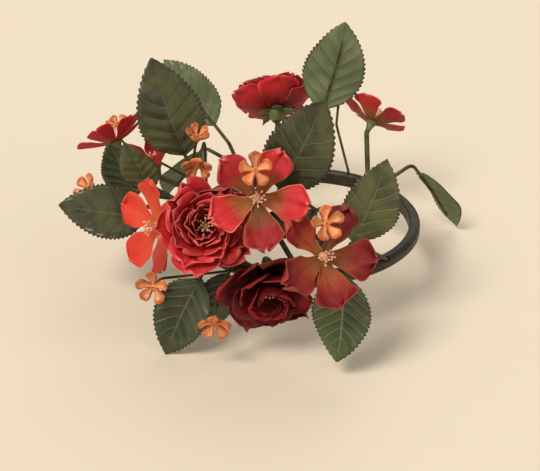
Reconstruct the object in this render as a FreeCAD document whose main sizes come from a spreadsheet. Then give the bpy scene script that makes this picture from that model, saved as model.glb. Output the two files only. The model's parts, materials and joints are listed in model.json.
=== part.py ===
import FreeCAD, Part
import math
import os
import Sketcher

# A floral candle ring: a slim moulded hoop that drops round a pillar candle, and a spray of
# cloth flowers and leaves whose wire stems are glued into sockets in the hoop.
# Millimetres. +Z is up, the origin is the middle of the hoop's bore at its underside.

V = FreeCAD.Vector

SIZES = [
    ("CandleDiameter", 76.2, "pillar candle that stands inside the hoop"),
    ("CandleGap", 1.9, "room between candle and hoop, all round"),
    ("HoopWall", 4.0, "hoop, from bore to outer edge"),
    ("HoopHeight", 5.0, "hoop, from underside to top"),
    ("HoopBevel", 1.2, "bevel on the hoop's two outer edges"),
    ("HoopBead", 0.5, "bevel on the hoop's upper inner edge"),
    ("GlueGap", 0.05, "glue film round a stem in its socket"),
    ("StemDiameter", 2.0, "wire stem of a rose or a floret"),
    ("StalkDiameter", 1.6, "stalk of a leaf"),
    ("TwigDiameter", 1.1, "twig of a small blossom"),
    ("BendRadius", 3.0, "bend of every stem, on its middle line"),
    ("PegDiameter", 1.4, "peg on the stem's end, which the flower head turns on"),
    ("PegPlay", 0.1, "play between the peg and the bores on it, all round"),
    ("PegEnd", 0.3, "room above the peg's end"),
    ("CupHeight", 5.0, "green cup under a rose"),
    ("CupFoot", 1.5, "radius of that cup at its foot"),
    ("CupMouth", 3.0, "radius of that cup at its mouth"),
    ("SepalReach", 8.5, "sepal, from the peg to its tip"),
    ("SepalThickness", 0.5, "sepal"),
    ("ThroatHeight", 4.0, "flared stem end under a floret"),
    ("ThroatMouth", 2.2, "radius of that flared end where the petals sit"),
    ("HubThickness", 0.8, "middle disc of each ring of petals"),
    ("HubRadius", 2.5, "middle disc of a rose's inner petals; the lower rings have wider ones"),
    ("PetalThickness", 0.55, "stiffened cloth of the petals"),
    ("RoseReach", 16.5, "rose, from the peg to the outer petals' tips"),
    ("LowRoseReach", 18.5, "the large dark rose, from the peg to its outer petals' tips"),
    ("FloretReach", 18.0, "floret, from the peg to a petal's tip"),
    ("SmallFloretReach", 14.0, "the two small florets, from the peg to a petal's tip"),
    ("StarFloretReach", 13.0, "the upright star floret, from the peg to a petal's tip"),
    ("ButtonRadius", 1.9, "button in the middle of a flower"),
    ("ButtonHeight", 2.4, "button in the middle of a flower"),
    ("StamenReach", 4.6, "stamens above the button's foot"),
    ("StamenWidth", 0.6, "stamen, across its flats"),
    ("BlossomReach", 6.6, "blossom, from its middle to a lobe's tip"),
    ("BlossomThickness", 0.6, "lobes of a blossom"),
    ("SmallBlossomReach", 6.0, "the smaller blossoms, from the middle to a lobe's tip"),
    ("BudReach", 4.6, "the half-open buds, from the middle to a lobe's tip"),
    ("LeafThickness", 0.5, "stiffened cloth of the leaves"),
    ("LargeLeaf", 37.5, "length of a large blade"),
    ("MiddleLeaf", 32.5, "length of a middle blade"),
    ("SmallLeaf", 25.0, "length of a small blade"),
    ("TinyLeaf", 21.5, "length of a tiny blade"),
]

doc = FreeCAD.newDocument("CandleRing")
sheet = doc.addObject("Spreadsheet::Sheet", "Sizes")
routes = doc.addObject("Spreadsheet::Sheet", "Routes")
for row, (alias, value, note) in enumerate(SIZES, start=1):
    sheet.set("A%d" % row, alias)
    sheet.set("B%d" % row, str(value))
    sheet.set("C%d" % row, note)
    sheet.setAlias("B%d" % row, alias)
doc.recompute()


def size(alias):
    return float(sheet.get(alias))


BORE_RADIUS = size("CandleDiameter") / 2 + size("CandleGap")
CORE_RADIUS = BORE_RADIUS + size("HoopWall") / 2
CORE_HEIGHT = size("HoopHeight") / 2
route_count = 0


def route(alias, length):
    """Write a worked-out length to the second sheet and give back the name it is bound by."""
    global route_count
    route_count += 1
    routes.set("A%d" % route_count, alias)
    routes.set("B%d" % route_count, "%.6f" % length)
    routes.setAlias("B%d" % route_count, alias)
    return "Routes." + alias


def share(alias, part=1.0):
    """A share of a named size, as a number and as the expression that binds it."""
    return size(alias) * part, "Sizes.%s * %.6g" % (alias, part)


def plus(*lengths):
    return sum(number for number, text in lengths), " + ".join("(%s)" % text for number, text in lengths)


NOTHING = (0.0, "0")


def origin_part(body, role):
    return next(item for item in body.Origin.OriginFeatures if item.Role == role)


def new_body(name):
    body = doc.addObject("PartDesign::Body", name)
    body.Label = name
    return body


def new_sketch(body, name, role, across=NOTHING, up=NOTHING, out=NOTHING, turn=None):
    """A sketch on one of the body's own planes, moved along the plane (across, up) and off it (out)."""
    sketch = body.newObject("Sketcher::SketchObject", name)
    sketch.AttachmentSupport = (origin_part(body, role), [""])
    sketch.MapMode = "FlatFace"
    turn = turn or FreeCAD.Rotation()
    sketch.AttachmentOffset = FreeCAD.Placement(V(across[0], up[0], out[0]), turn)
    for axis, length in (("x", across), ("y", up), ("z", out)):
        if length is not NOTHING:
            sketch.setExpression("AttachmentOffset.Base." + axis, length[1])
    return sketch


def held(kind, refs, length=None):
    """One row for hold(): a constraint and, where it has a length, the expression that binds it."""
    if length is None:
        return Sketcher.Constraint(kind, *refs), None
    return Sketcher.Constraint(kind, *refs, length[0]), length[1]


def hold(sketch, rows):
    """Add all constraints of a sketch in one step, then bind the lengths among them."""
    indexes = sketch.addConstraint([constraint for constraint, text in rows])
    for index, (constraint, text) in zip(indexes, rows):
        if text:
            label = "Length%d" % index
            sketch.renameConstraint(index, label)
            sketch.setExpression("Constraints." + label, text)


def point_rows(line, x, y):
    """Hold a line's first point at (x, y); a length below zero is measured the other way."""
    rows = []
    for kind, axis, length in (("DistanceX", -2, x), ("DistanceY", -1, y)):
        if length[0] == 0.0:
            rows.append(held("PointOnObject", (line, 1, axis)))
        elif length[0] > 0.0:
            rows.append(held(kind, (-1, 1, line, 1), length))
        else:
            rows.append(held(kind, (line, 1, -1, 1), minus(length)))
    return rows


def outline(sketch, points):
    """A closed outline of straight lines through points given as pairs of lengths."""
    count = len(points)
    spots = [V(x[0], y[0], 0) for x, y in points]
    sketch.addGeometry([Part.LineSegment(spots[k], spots[(k + 1) % count]) for k in range(count)], False)
    rows = [held("Coincident", (k, 2, (k + 1) % count, 1)) for k in range(count)]
    for k, (x, y) in enumerate(points):
        rows += point_rows(k, x, y)
    hold(sketch, rows)


def circle(sketch, radius):
    index = sketch.addGeometry(Part.Circle(V(0, 0, 0), V(0, 0, 1), radius[0]), False)
    hold(sketch, [held("Coincident", (index, 3, -1, 1)), held("Radius", (index,), radius)])


def minus(length):
    return -length[0], "-(%s)" % length[1]


FLATS = 8


def eight_sided(sketch, alias, part):
    """The outline of wrapped wire: eight flats inside a circle that is a share of a named size."""
    turns = [2 * math.pi * (k + 0.5) / FLATS for k in range(FLATS)]
    outline(sketch, [(share(alias, part * math.cos(a)), share(alias, part * math.sin(a))) for a in turns])


def revolve(body, name, points):
    sketch = new_sketch(body, name + "_outline", "XZ_Plane")
    outline(sketch, points)
    feature = body.newObject("PartDesign::Revolution", name)
    feature.Profile = sketch
    feature.ReferenceAxis = (sketch, ["V_Axis"])
    feature.Angle = 360
    return feature


def pad(body, name, sketch, length):
    feature = body.newObject("PartDesign::Pad", name)
    feature.Profile = sketch
    feature.setExpression("Length", length[1])
    return feature


def loft(body, name, sections):
    feature = body.newObject("PartDesign::AdditiveLoft", name)
    feature.Profile = sections[0]
    feature.Sections = sections[1:]
    feature.Ruled = True
    return feature


def repeat_round(body, name, feature, count):
    pattern = body.newObject("PartDesign::PolarPattern", name)
    pattern.Originals = [feature]
    pattern.Axis = (origin_part(body, "Z_Axis"), [""])
    pattern.Angle = 360
    pattern.Occurrences = count
    body.Tip = pattern


PEG_BORE = plus(share("PegDiameter", 0.5), share("PegPlay"))
CUP_SHARES = [(0.86, 0.42)]
BUTTON_BEVEL_SHARE = 0.15
BUTTON_BORE_SHARE = 0.65

# One row per cut through a petal, from its root to its tip: how far out, how high and half how
# wide, in shares of the petal's reach. All cuts of a petal are parallel, so its faces are flat.
OUTER_PETAL_SHARES = [
    (0.21, 0.012, 0.14), (0.36, 0.04, 0.30), (0.62, 0.13, 0.44), (0.84, 0.26, 0.45), (0.96, 0.37, 0.30),
    (1.00, 0.43, 0.10)]
MIDDLE_PETAL_SHARES = [
    (0.17, 0.012, 0.05), (0.30, 0.10, 0.26), (0.50, 0.28, 0.38), (0.64, 0.47, 0.34), (0.70, 0.60, 0.14)]
INNER_PETAL_SHARES = [
    (0.14, 0.015, 0.07), (0.22, 0.13, 0.17), (0.33, 0.34, 0.24), (0.37, 0.53, 0.20), (0.35, 0.64, 0.08)]
FLORET_PETAL_SHARES = [
    (0.145, 0.012, 0.09), (0.32, 0.06, 0.15), (0.56, 0.14, 0.26), (0.78, 0.23, 0.31), (0.92, 0.30, 0.22),
    (1.00, 0.35, 0.05)]
STAR_PETAL_SHARES = [
    (0.175, 0.02, 0.09), (0.26, 0.17, 0.15), (0.44, 0.36, 0.24), (0.62, 0.56, 0.26), (0.76, 0.70, 0.16),
    (0.85, 0.78, 0.04)]
SEPAL_SHARES = [(0.28, 0.00, 0.20), (0.60, -0.06, 0.17), (1.00, -0.20, 0.02)]
LOBE_SHARES = [(0.14, 0.02, 0.13), (0.45, 0.10, 0.22), (0.75, 0.24, 0.34), (0.94, 0.36, 0.24), (1.00, 0.40, 0.08)]
THROAT_SHARES = [(-0.32, 0.09), (0.0, 0.20), (0.12, 0.20)]
OUTER_HUB_SHARE = 1.68
MIDDLE_HUB_SHARE = 1.32
INNER_HUB_SHARE = 1.0
FLORET_HUB_SHARE = 1.16
PETAL_COUNT = 5
CURL_SHARE = 0.24
CURL_MIDDLE_SHARE = 0.30


def petal_cut(body, name, reach, row, lift_share, tilt, level, thickness, rounded):
    """One cut through a petal: a shallow channel, keel down, square to the tilted direction."""
    out_share, up_share, half_share = row
    turn = FreeCAD.Rotation(V(1, 0, 0), -tilt)
    up = plus(level, share(reach, up_share * lift_share))
    sketch = new_sketch(body, name, "YZ_Plane", NOTHING, up, share(reach, out_share), turn)
    half = share(reach, half_share)
    curl = share(reach, half_share * CURL_SHARE)
    thick = share(thickness)
    if rounded:
        inner = share(reach, half_share / 2)
        inner_curl = share(reach, half_share * CURL_SHARE * CURL_MIDDLE_SHARE)
        outline(sketch, [
            (minus(half), curl), (minus(inner), inner_curl), (NOTHING, NOTHING), (inner, inner_curl),
            (half, curl), (half, plus(curl, thick)), (inner, plus(inner_curl, thick)), (NOTHING, thick),
            (minus(inner), plus(inner_curl, thick)), (minus(half), plus(curl, thick))])
    else:
        outline(sketch, [
            (minus(half), curl), (NOTHING, NOTHING), (half, curl), (half, plus(curl, thick)),
            (NOTHING, thick), (minus(half), plus(curl, thick))])
    return sketch


def petals(body, name, reach, rows, level, thickness, lift_share=1.0, tilt=0.0, rounded=False):
    cuts = []
    for k, row in enumerate(rows):
        cuts.append(petal_cut(body, "%s_cut_%d" % (name, k), reach, row, lift_share, tilt, level, thickness, rounded))
    petal = loft(body, name, cuts)
    repeat_round(body, name + "_ring", petal, PETAL_COUNT)


def petal_ring(name, reach, rows, hub_share, layer, foot, tilt=0.0, rounded=False):
    """A ring of five petals stamped from one sheet, with a bored disc in its middle.

    The petals begin outside the disc of the ring above, which lies on this ring's disc.
    """
    body = new_body(name)
    level = plus(foot, share("HubThickness", layer))
    disc = new_sketch(body, name + "_disc_outline", "XY_Plane", NOTHING, NOTHING, level)
    circle(disc, share("HubRadius", hub_share))
    circle(disc, PEG_BORE)
    pad(body, name + "_disc", disc, share("HubThickness"))
    petals(body, name + "_petal", reach, rows, level, "PetalThickness", tilt=tilt, rounded=rounded)
    return body


def cup(name):
    """The green cup under a rose, with its five sepals."""
    body = new_body(name)
    points = [(PEG_BORE, NOTHING), (share("CupFoot"), NOTHING)]
    points += [(share("CupMouth", wide), share("CupHeight", high)) for wide, high in CUP_SHARES]
    points += [(share("CupMouth"), share("CupHeight")), (PEG_BORE, share("CupHeight"))]
    revolve(body, name + "_turned", points)
    level = plus(share("CupHeight"), minus(share("SepalThickness", 2.2)))
    petals(body, name + "_sepal", "SepalReach", SEPAL_SHARES, level, "SepalThickness")
    return body


def button(name, foot):
    """The button in a flower's middle, blind-bored for the peg, with its stamens."""
    body = new_body(name)
    depth = plus(foot, share("ButtonHeight", BUTTON_BORE_SHARE))
    top = plus(foot, share("ButtonHeight"))
    bevel = share("ButtonHeight", -BUTTON_BEVEL_SHARE)
    revolve(body, name + "_turned", [
        (PEG_BORE, foot), (share("ButtonRadius"), foot), (share("ButtonRadius"), plus(top, bevel)),
        (plus(share("ButtonRadius"), bevel), top), (NOTHING, top), (NOTHING, depth), (PEG_BORE, depth)])
    cuts = []
    for k, (high, out, wide) in enumerate(STAMEN_SHARES):
        level = plus(foot, share("StamenReach", high))
        cut = new_sketch(body, "%s_stamen_cut_%d" % (name, k), "XY_Plane", share("StamenReach", out), NOTHING, level)
        half = share("StamenWidth", wide / 2)
        outline(cut, [(minus(half), minus(half)), (half, minus(half)), (half, half), (minus(half), half)])
        cuts.append(cut)
    stamen = loft(body, name + "_stamen", cuts)
    repeat_round(body, name + "_stamens", stamen, STAMEN_COUNT)
    return body


STAMEN_COUNT = 7
STAMEN_SHARES = [(0.48, 0.24, 0.7), (0.84, 0.46, 0.6), (0.90, 0.50, 1.3), (1.0, 0.56, 0.9)]


def true_edge(edge):
    """The same edge, as a line where it is straight."""
    first = edge.Vertexes[0].Point
    last = edge.Vertexes[-1].Point
    if edge.Curve.TypeId != "Part::GeomLine" and abs(edge.Length - first.distanceToPoint(last)) < STRAIGHT:
        return Part.LineSegment(first, last).toShape()
    return edge


STRAIGHT = 1e-8


def with_true_planes(shape):
    """The same solid, with each flat lofted face held as a plane and its straight edges as lines."""
    faces = []
    for face in shape.Faces:
        if face.Surface.TypeId == "Part::GeomBSplineSurface" and face.findPlane() is not None:
            face = Part.Face([Part.Wire([true_edge(edge) for edge in wire.OrderedEdges]) for wire in face.Wires])
        faces.append(face)
    shell = Part.makeShell(faces)
    shell.sewShape()
    solid = Part.makeSolid(shell)
    if solid.Volume < 0:
        solid.reverse()
    return solid.removeSplitter()


def unit(azimuth, height_angle):
    """The direction at an azimuth from +X and a height angle above the horizontal, in degrees."""
    a = math.radians(azimuth)
    h = math.radians(height_angle)
    return V(math.cos(h) * math.cos(a), math.cos(h) * math.sin(a), math.sin(h))


def spot(azimuth, radius_share, height_share):
    """A place round the hoop, in shares of the hoop's middle radius."""
    a = math.radians(azimuth)
    return V(math.cos(a) * radius_share, math.sin(a) * radius_share, height_share) * CORE_RADIUS


def hoop_core(azimuth):
    a = math.radians(azimuth)
    return V(math.cos(a) * CORE_RADIUS, math.sin(a) * CORE_RADIUS, CORE_HEIGHT)


class Route:
    """A stem's way from its socket in the hoop to the flower or blade that it carries.

    It leaves the hoop straight, bends once and arrives along the facing direction. The local
    frame has its origin at the stem's upper end, Z along the facing and X in the bend's plane.
    """

    def __init__(self, name, top, facing, foot_azimuth, neck_share):
        self.name = name
        self.top = top
        self.facing = facing
        self.foot = hoop_core(foot_azimuth)
        neck = neck_share * CORE_RADIUS
        self.corner = top - facing * neck
        self.first = (self.corner - self.foot).normalize()
        self.turn = math.acos(max(-1.0, min(1.0, self.first * facing)))
        self.cut_off = size("BendRadius") * math.tan(self.turn / 2)
        self.neck = neck - self.cut_off
        across = self.first - facing * (self.first * facing)
        self.x_axis = across.normalize()
        self.y_axis = facing.cross(self.x_axis)
        self.placement = FreeCAD.Placement(
            top, FreeCAD.Rotation(self.x_axis, self.y_axis, facing, "ZXY"))
        reach = self.foot - top
        self.foot_across = reach * self.x_axis
        self.foot_along = reach * facing
        if self.neck <= 0.0 or (self.corner - self.foot).Length <= self.cut_off:
            raise ValueError("%s has no room for its bend" % name)

    def roll(self, direction):
        """The angle from the local X axis to a direction, seen from the tip, in degrees."""
        return math.degrees(math.atan2(direction * self.y_axis, direction * self.x_axis))


def stem_path(body, way):
    """The stem's middle line: a straight neck, one bend and a straight run to the hoop."""
    path = new_sketch(body, way.name + "_path", "XZ_Plane")
    radius = size("BendRadius")
    bend_top = V(0, -way.neck, 0)
    centre = bend_top - V(radius, 0, 0)
    corner = V(0, -way.neck - way.cut_off, 0)
    foot = V(way.foot_across, way.foot_along, 0)
    bend_foot = corner + (foot - corner).normalize() * way.cut_off
    angle = math.atan2(bend_foot.y - centre.y, bend_foot.x - centre.x)
    arc = Part.ArcOfCircle(Part.Circle(centre, V(0, 0, 1), radius), angle, 0.0)
    path.addGeometry([Part.LineSegment(V(0, 0, 0), bend_top), arc, Part.LineSegment(bend_foot, foot)], False)
    along = (way.foot_along, route(way.name + "_along", way.foot_along))
    across = (way.foot_across, route(way.name + "_across", way.foot_across))
    foot_rows = [held("DistanceX", (2, 2, -1, 1), minus(across)), held("DistanceY", (-1, 1, 2, 2), along)]
    if way.foot_along < 0:
        foot_rows[1] = held("DistanceY", (2, 2, -1, 1), minus(along))
    hold(path, [
        held("Coincident", (0, 1, -1, 1)), held("Vertical", (0,)),
        held("Tangent", (0, 2, 1, 2)), held("Tangent", (1, 1, 2, 1)), held("Radius", (1,), share("BendRadius")),
        held("DistanceY", (0, 2, 0, 1), (way.neck, route(way.name + "_neck", way.neck)))] + foot_rows)
    return path


def round_stem(name, way, peg_length, throat=False):
    """A wire stem with the turned-down peg that carries a flower head."""
    body = new_body(name)
    section = new_sketch(body, name + "_section", "XY_Plane")
    eight_sided(section, "StemDiameter", 0.5)
    pipe = body.newObject("PartDesign::AdditivePipe", name + "_wire")
    pipe.Profile = section
    pipe.Spine = (stem_path(body, way), [])
    if throat:
        down = minus(share("ThroatHeight"))
        revolve(body, name + "_throat", [
            (NOTHING, NOTHING), (share("ThroatMouth"), NOTHING), (share("StemDiameter", 0.5), down),
            (NOTHING, down)])
    peg = new_sketch(body, name + "_peg_outline", "XY_Plane")
    circle(peg, share("PegDiameter", 0.5))
    pad(body, name + "_peg", peg, peg_length)
    body.Placement = way.placement
    return body


def square_stem(body, name, way, width):
    """A flat-sided stalk, as moulded on leaves and small blossoms."""
    section = new_sketch(body, name + "_section", "XY_Plane")
    half = share(width, 0.5)
    outline(section, [(minus(half), minus(half)), (half, minus(half)), (half, half), (minus(half), half)])
    pipe = body.newObject("PartDesign::AdditivePipe", name + "_stalk")
    pipe.Profile = section
    pipe.Spine = (stem_path(body, way), [])


# Blade of a leaf: how far along and half how wide, in shares of its length. Each pair that lies
# close together is one tooth of the serrated edge.
BLADE_SHARES = [
    (0.00, 0.020), (0.05, 0.110), (0.12, 0.200), (0.135, 0.180), (0.22, 0.268), (0.235, 0.244),
    (0.34, 0.305), (0.355, 0.280), (0.46, 0.307), (0.475, 0.282), (0.58, 0.282), (0.595, 0.256),
    (0.70, 0.230), (0.715, 0.205), (0.81, 0.164), (0.825, 0.141), (0.91, 0.094), (0.922, 0.075),
    (1.00, 0.008)]


def leaf(name, way, length, normal, width_share, fold_share, arch_share):
    """A serrated blade, folded along its midrib and arched, on its stalk."""
    body = new_body(name)
    square_stem(body, name, way, "StalkDiameter")
    roll = way.roll(normal)
    a = math.radians(roll)
    turn = FreeCAD.Rotation(V(0, 0, 1), roll - 90)
    thick = share("LeafThickness")
    cuts = []
    for k, (along, half_share) in enumerate(BLADE_SHARES):
        sag = arch_share * along * along
        cut = new_sketch(
            body, "%s_cut_%d" % (name, k), "XY_Plane",
            share(length, sag * math.cos(a)), share(length, sag * math.sin(a)), share(length, along), turn)
        half = share(length, half_share * width_share)
        fold = share(length, half_share * width_share * fold_share)
        outline(cut, [
            (minus(half), fold), (NOTHING, NOTHING), (half, fold), (half, plus(fold, thick)),
            (NOTHING, thick), (minus(half), plus(fold, thick))])
        cuts.append(cut)
    loft(body, name + "_blade", cuts)
    body.Placement = way.placement
    return body


def blossom(name, way, reach, lift_share):
    """A small five-lobed blossom moulded in one with its twig."""
    body = new_body(name)
    square_stem(body, name, way, "TwigDiameter")
    cuts = []
    for k, (high_share, wide_share) in enumerate(THROAT_SHARES):
        level = share(reach, high_share)
        cut = new_sketch(body, "%s_throat_cut_%d" % (name, k), "XY_Plane", NOTHING, NOTHING, level)
        half = share(reach, wide_share)
        outline(cut, [(minus(half), minus(half)), (half, minus(half)), (half, half), (minus(half), half)])
        cuts.append(cut)
    loft(body, name + "_throat", cuts)
    petals(body, name + "_lobe", reach, LOBE_SHARES, NOTHING, "BlossomThickness", lift_share)
    body.Placement = way.placement
    return body


def head_placement(top, facing, spin):
    """The frame of a flower head on its peg: Z along the facing, petal 0 turned by spin from the top."""
    upward = V(0, 0, 1) - facing * facing.z
    turn = FreeCAD.Rotation(upward, facing.cross(upward), facing, "ZXY")
    return FreeCAD.Placement(top, turn * FreeCAD.Rotation(V(0, 0, 1), spin))


def check_solid(label, shape):
    if shape.isNull() or not shape.isValid() or len(shape.Solids) != 1:
        raise ValueError("%s isn't one sound solid" % label)


SAME_SHARE = 1e-5
CORNER_SHARE = 0.7072

# Places round the hoop. Each row gives the stem's upper end (azimuth, then radius and height in
# shares of the hoop's middle radius), the facing (azimuth, height angle), the azimuth of the
# socket in the hoop and the straight neck as a share of that radius.
ROSE_PLACE_SHARES = {
    "rose_1": ("RoseReach", 20, (-128, 1.35, 0.57), (-86, 31), -161, 0.28),
    "rose_2": ("LowRoseReach", 10, (-105, 1.23, 0.27), (-81, -23), -98, 0.12),
    "rose_3": ("RoseReach", 0, (101.5, 1.30, 0.48), (99, 36), 102, 0.20),
}
FLORET_PLACE_SHARES = {
    "floret_1": ("FloretReach", FLORET_PETAL_SHARES, 0, 39, (-84.5, 1.61, 0.60), (-68, 27), -60, 0.09),
    "floret_2": ("FloretReach", FLORET_PETAL_SHARES, 0, 41, (-107, 1.33, 0.96), (-83, 29), -90, 0.06),
    "floret_3": ("FloretReach", FLORET_PETAL_SHARES, 0, 12, (-148, 1.45, 0.43), (-144, 12), -108, 0.13),
    "floret_4": ("StarFloretReach", STAR_PETAL_SHARES, 35, 0, (162.5, 1.42, 0.40), (-171, 71), 150, 0.11),
    "floret_5": ("SmallFloretReach", FLORET_PETAL_SHARES, 0, 20, (171.5, 1.71, 0.73), (130, 45), 166.5, 0.36),
    "floret_6": ("SmallFloretReach", FLORET_PETAL_SHARES, 0, 0, (61.5, 1.33, 0.53), (59, 38), 53, 0.12),
}
BLOSSOM_PLACE_SHARES = {
    "blossom_3": ("SmallBlossomReach", 1, (-137, 1.21, 1.06), (-99, -26), -145.5, 0.28),
    "blossom_4": ("SmallBlossomReach", 1, (-175.5, 1.91, 0.46), (-145, 37), -150.5, 0.12),
    "blossom_5": ("BlossomReach", 1, (-136.5, 1.74, 0.08), (-103, 9), -121, 0.19),
    "blossom_6": ("BlossomReach", 1, (-115.5, 1.71, -0.06), (-91, -22), -103, 0.29),
    "blossom_7": ("BudReach", 1, (159.5, 1.82, 0.72), (-129, 78), 143.5, 0.18),
    "blossom_8": ("BlossomReach", 1, (75, 1.29, 0.88), (80, 59), 64, 0.38),
    "blossom_9": ("BudReach", 2, (-145, 1.11, 1.20), (-64, 69), -168, 0.31),
}

# Two blossoms come through the gap between two petals of a floret: the floret, the angle and
# radius of the gap, the height over its foot and the neck's run below it, in shares of its reach.
GAP_BLOSSOM_SHARES = {
    "blossom_1": ("floret_2", 5, 0.52, 0.53, 0.28, -141),
    "blossom_2": ("floret_1", 3, 0.64, 0.56, 0.28, -73.5),
}

# Leaves: blade length, the way its upper side looks, then width, fold and arch in shares.
LEAF_PLACE_SHARES = {
    "leaf_1": ("LargeLeaf", (-81, 21), 1, 0.25, -0.06,
               (-154, 1.14, 0.99), (180, 73), -174, 0.06),
    "leaf_2": ("LargeLeaf", (-96, 17), 1, 0.25, 0,
               (-100.5, 1.10, 0.96), (-4, 65), -66, 0.06),
    "leaf_3": ("MiddleLeaf", (-77, 18), 1, 0.25, 0,
               (-66.5, 1.07, 0.41), (23, 67), -51, 0.08),
    "leaf_4": ("MiddleLeaf", (-90, 41), 1, 0.25, 0,
               (-166.5, 1.43, 0.29), (-171, 11), 177.5, 0.09),
    "leaf_5": ("SmallLeaf", (-105.5, 18), 1, 0.25, 0,
               (179.5, 1.50, 0.33), (-166.5, 65), 173.5, 0.13),
    "leaf_6": ("MiddleLeaf", (-114, 0), 1, 0.25, 0,
               (-126, 1.48, 0.16), (-166, -65), -136, 0.19),
    "leaf_7": ("SmallLeaf", (108, 12), 1, 0.3, 0,
               (-118.5, 1.33, 0.18), (-173, -74), -131, 0.14),
    "leaf_8": ("MiddleLeaf", (-102, 6), 1, 0.25, 0,
               (-77, 1.56, 0.39), (-119, -80), -42, 0.29),
    "leaf_9": ("TinyLeaf", (-90, 37), 1, 0.25, 0,
               (-84.5, 1.15, 0.79), (-159, -14), -84, 0.12),
    "leaf_10": ("TinyLeaf", (-103, 18), 1, 0.25, 0,
               (-165.5, 1.39, 0.56), (-179, 68), 156.5, 0.06),
    "leaf_11": ("MiddleLeaf", (39, 48), 1, 0.25, 0,
               (39, 1.40, 0.13), (26, -55), 47, 0.15),
    "leaf_12": ("MiddleLeaf", (129, 48), 1, 0.25, 0,
               (132.5, 1.47, 0.23), (135, -54), 114, 0.11),
    "leaf_13": ("LargeLeaf", (84, 18), 1, 0.25, 0,
               (81, 1.05, 0.70), (16, 75), 75.5, 0.17),
    "leaf_14": ("MiddleLeaf", (111, 30), 1, 0.25, 0,
               (133, 1.23, 0.62), (144, 40), 123, 0.23),
}


def way_of(name, place, face, foot_azimuth, neck_share):
    return Route(name, spot(*place), unit(*face), foot_azimuth, neck_share)


sub_parts = {}
ways = {}


def keep(name, body):
    sub_parts[name] = body


def rose(name, reach, spin, place, face, foot_azimuth, neck_share):
    way = way_of(name, place, face, foot_azimuth, neck_share)
    ways[name] = (way, "StemDiameter", 0.5)
    seat = share("CupHeight")
    layers = share("HubThickness", 3)
    grip = plus(share("ButtonHeight", BUTTON_BORE_SHARE), minus(share("PegEnd")))
    keep(name + "_stem", round_stem(name + "_stem", way, plus(seat, layers, grip)))
    pieces = {
        "_cup": cup(name + "_cup"),
        "_outer_petals": petal_ring(
            name + "_outer_petals", reach, OUTER_PETAL_SHARES, OUTER_HUB_SHARE, 0, seat, rounded=True),
        "_middle_petals": petal_ring(
            name + "_middle_petals", reach, MIDDLE_PETAL_SHARES, MIDDLE_HUB_SHARE, 1, seat, tilt=40),
        "_inner_petals": petal_ring(
            name + "_inner_petals", reach, INNER_PETAL_SHARES, INNER_HUB_SHARE, 2, seat, tilt=75),
        "_centre": button(name + "_centre", plus(seat, layers)),
    }
    for ending, body in pieces.items():
        turn = spin + 36 if ending == "_middle_petals" else spin
        body.Placement = head_placement(way.top, way.facing, turn)
        keep(name + ending, body)


def floret(name, reach, rows, tilt, spin, place, face, foot_azimuth, neck_share):
    way = way_of(name, place, face, foot_azimuth, neck_share)
    ways[name] = (way, "StemDiameter", 0.5)
    layer = share("HubThickness")
    grip = plus(share("ButtonHeight", BUTTON_BORE_SHARE), minus(share("PegEnd")))
    keep(name + "_stem", round_stem(name + "_stem", way, plus(layer, grip), throat=True))
    ring = petal_ring(name + "_petals", reach, rows, FLORET_HUB_SHARE, 0, NOTHING, tilt=tilt)
    middle = button(name + "_centre", layer)
    for ending, body in (("_petals", ring), ("_centre", middle)):
        body.Placement = head_placement(way.top, way.facing, spin)
        keep(name + ending, body)


for name, row in ROSE_PLACE_SHARES.items():
    rose(name, *row)
for name, row in FLORET_PLACE_SHARES.items():
    floret(name, *row)
for name, (length, look, width_share, fold_share, arch_share, place, face, foot_azimuth, neck_share) \
        in LEAF_PLACE_SHARES.items():
    way = way_of(name, place, face, foot_azimuth, neck_share)
    ways[name] = (way, "StalkDiameter", CORNER_SHARE)
    keep(name, leaf(name, way, length, unit(*look), width_share, fold_share, arch_share))
for name, (reach, lift_share, place, face, foot_azimuth, neck_share) in BLOSSOM_PLACE_SHARES.items():
    way = way_of(name, place, face, foot_azimuth, neck_share)
    ways[name] = (way, "TwigDiameter", CORNER_SHARE)
    keep(name, blossom(name, way, reach, lift_share))
for name, (carrier, angle, out_share, over_share, below_share, foot_azimuth) in GAP_BLOSSOM_SHARES.items():
    reach = size(FLORET_PLACE_SHARES[carrier][0])
    host = ways[carrier][0]
    frame = head_placement(host.top, host.facing, angle)
    top = frame.multVec(V(out_share * reach, 0, over_share * reach))
    neck_share = (over_share + below_share) * reach / CORE_RADIUS
    way = Route(name, top, host.facing, foot_azimuth, neck_share)
    ways[name] = (way, "TwigDiameter", CORNER_SHARE)
    keep(name, blossom(name, way, "BlossomReach", 1.0))

# The hoop: a bevelled ring, with an eight-sided socket from outside to its middle line along each
# stem's first run.
blank = new_body("hoop_blank")
bore = plus(share("CandleDiameter", 0.5), share("CandleGap"))
rim = plus(bore, share("HoopWall"))
top = share("HoopHeight")
bevel = share("HoopBevel")
bead = share("HoopBead")
revolve(blank, "hoop_blank_turned", [
    (bore, NOTHING), (plus(rim, minus(bevel)), NOTHING), (rim, bevel), (rim, plus(top, minus(bevel))),
    (plus(rim, minus(bevel)), top), (plus(bore, bead), top), (bore, plus(top, minus(bead)))])
sockets = []
for name, (way, width, half_share) in ways.items():
    socket = doc.addObject("Part::Prism", name + "_socket")
    socket.Polygon = FLATS
    socket.setExpression(
        "Circumradius", "(Sizes.%s * %.6g + Sizes.GlueGap) / cos(180 deg / %d)" % (width, half_share, FLATS))
    socket.setExpression("Height", "Sizes.HoopWall + Sizes.HoopHeight")
    socket.Placement = FreeCAD.Placement(way.foot, FreeCAD.Rotation(V(0, 0, 1), way.first))
    sockets.append(socket)
all_sockets = doc.addObject("Part::MultiFuse", "hoop_sockets")
all_sockets.Shapes = sockets
hoop = doc.addObject("Part::Cut", "base_hoop")
hoop.Label = "base_hoop"
hoop.Base = blank
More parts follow.
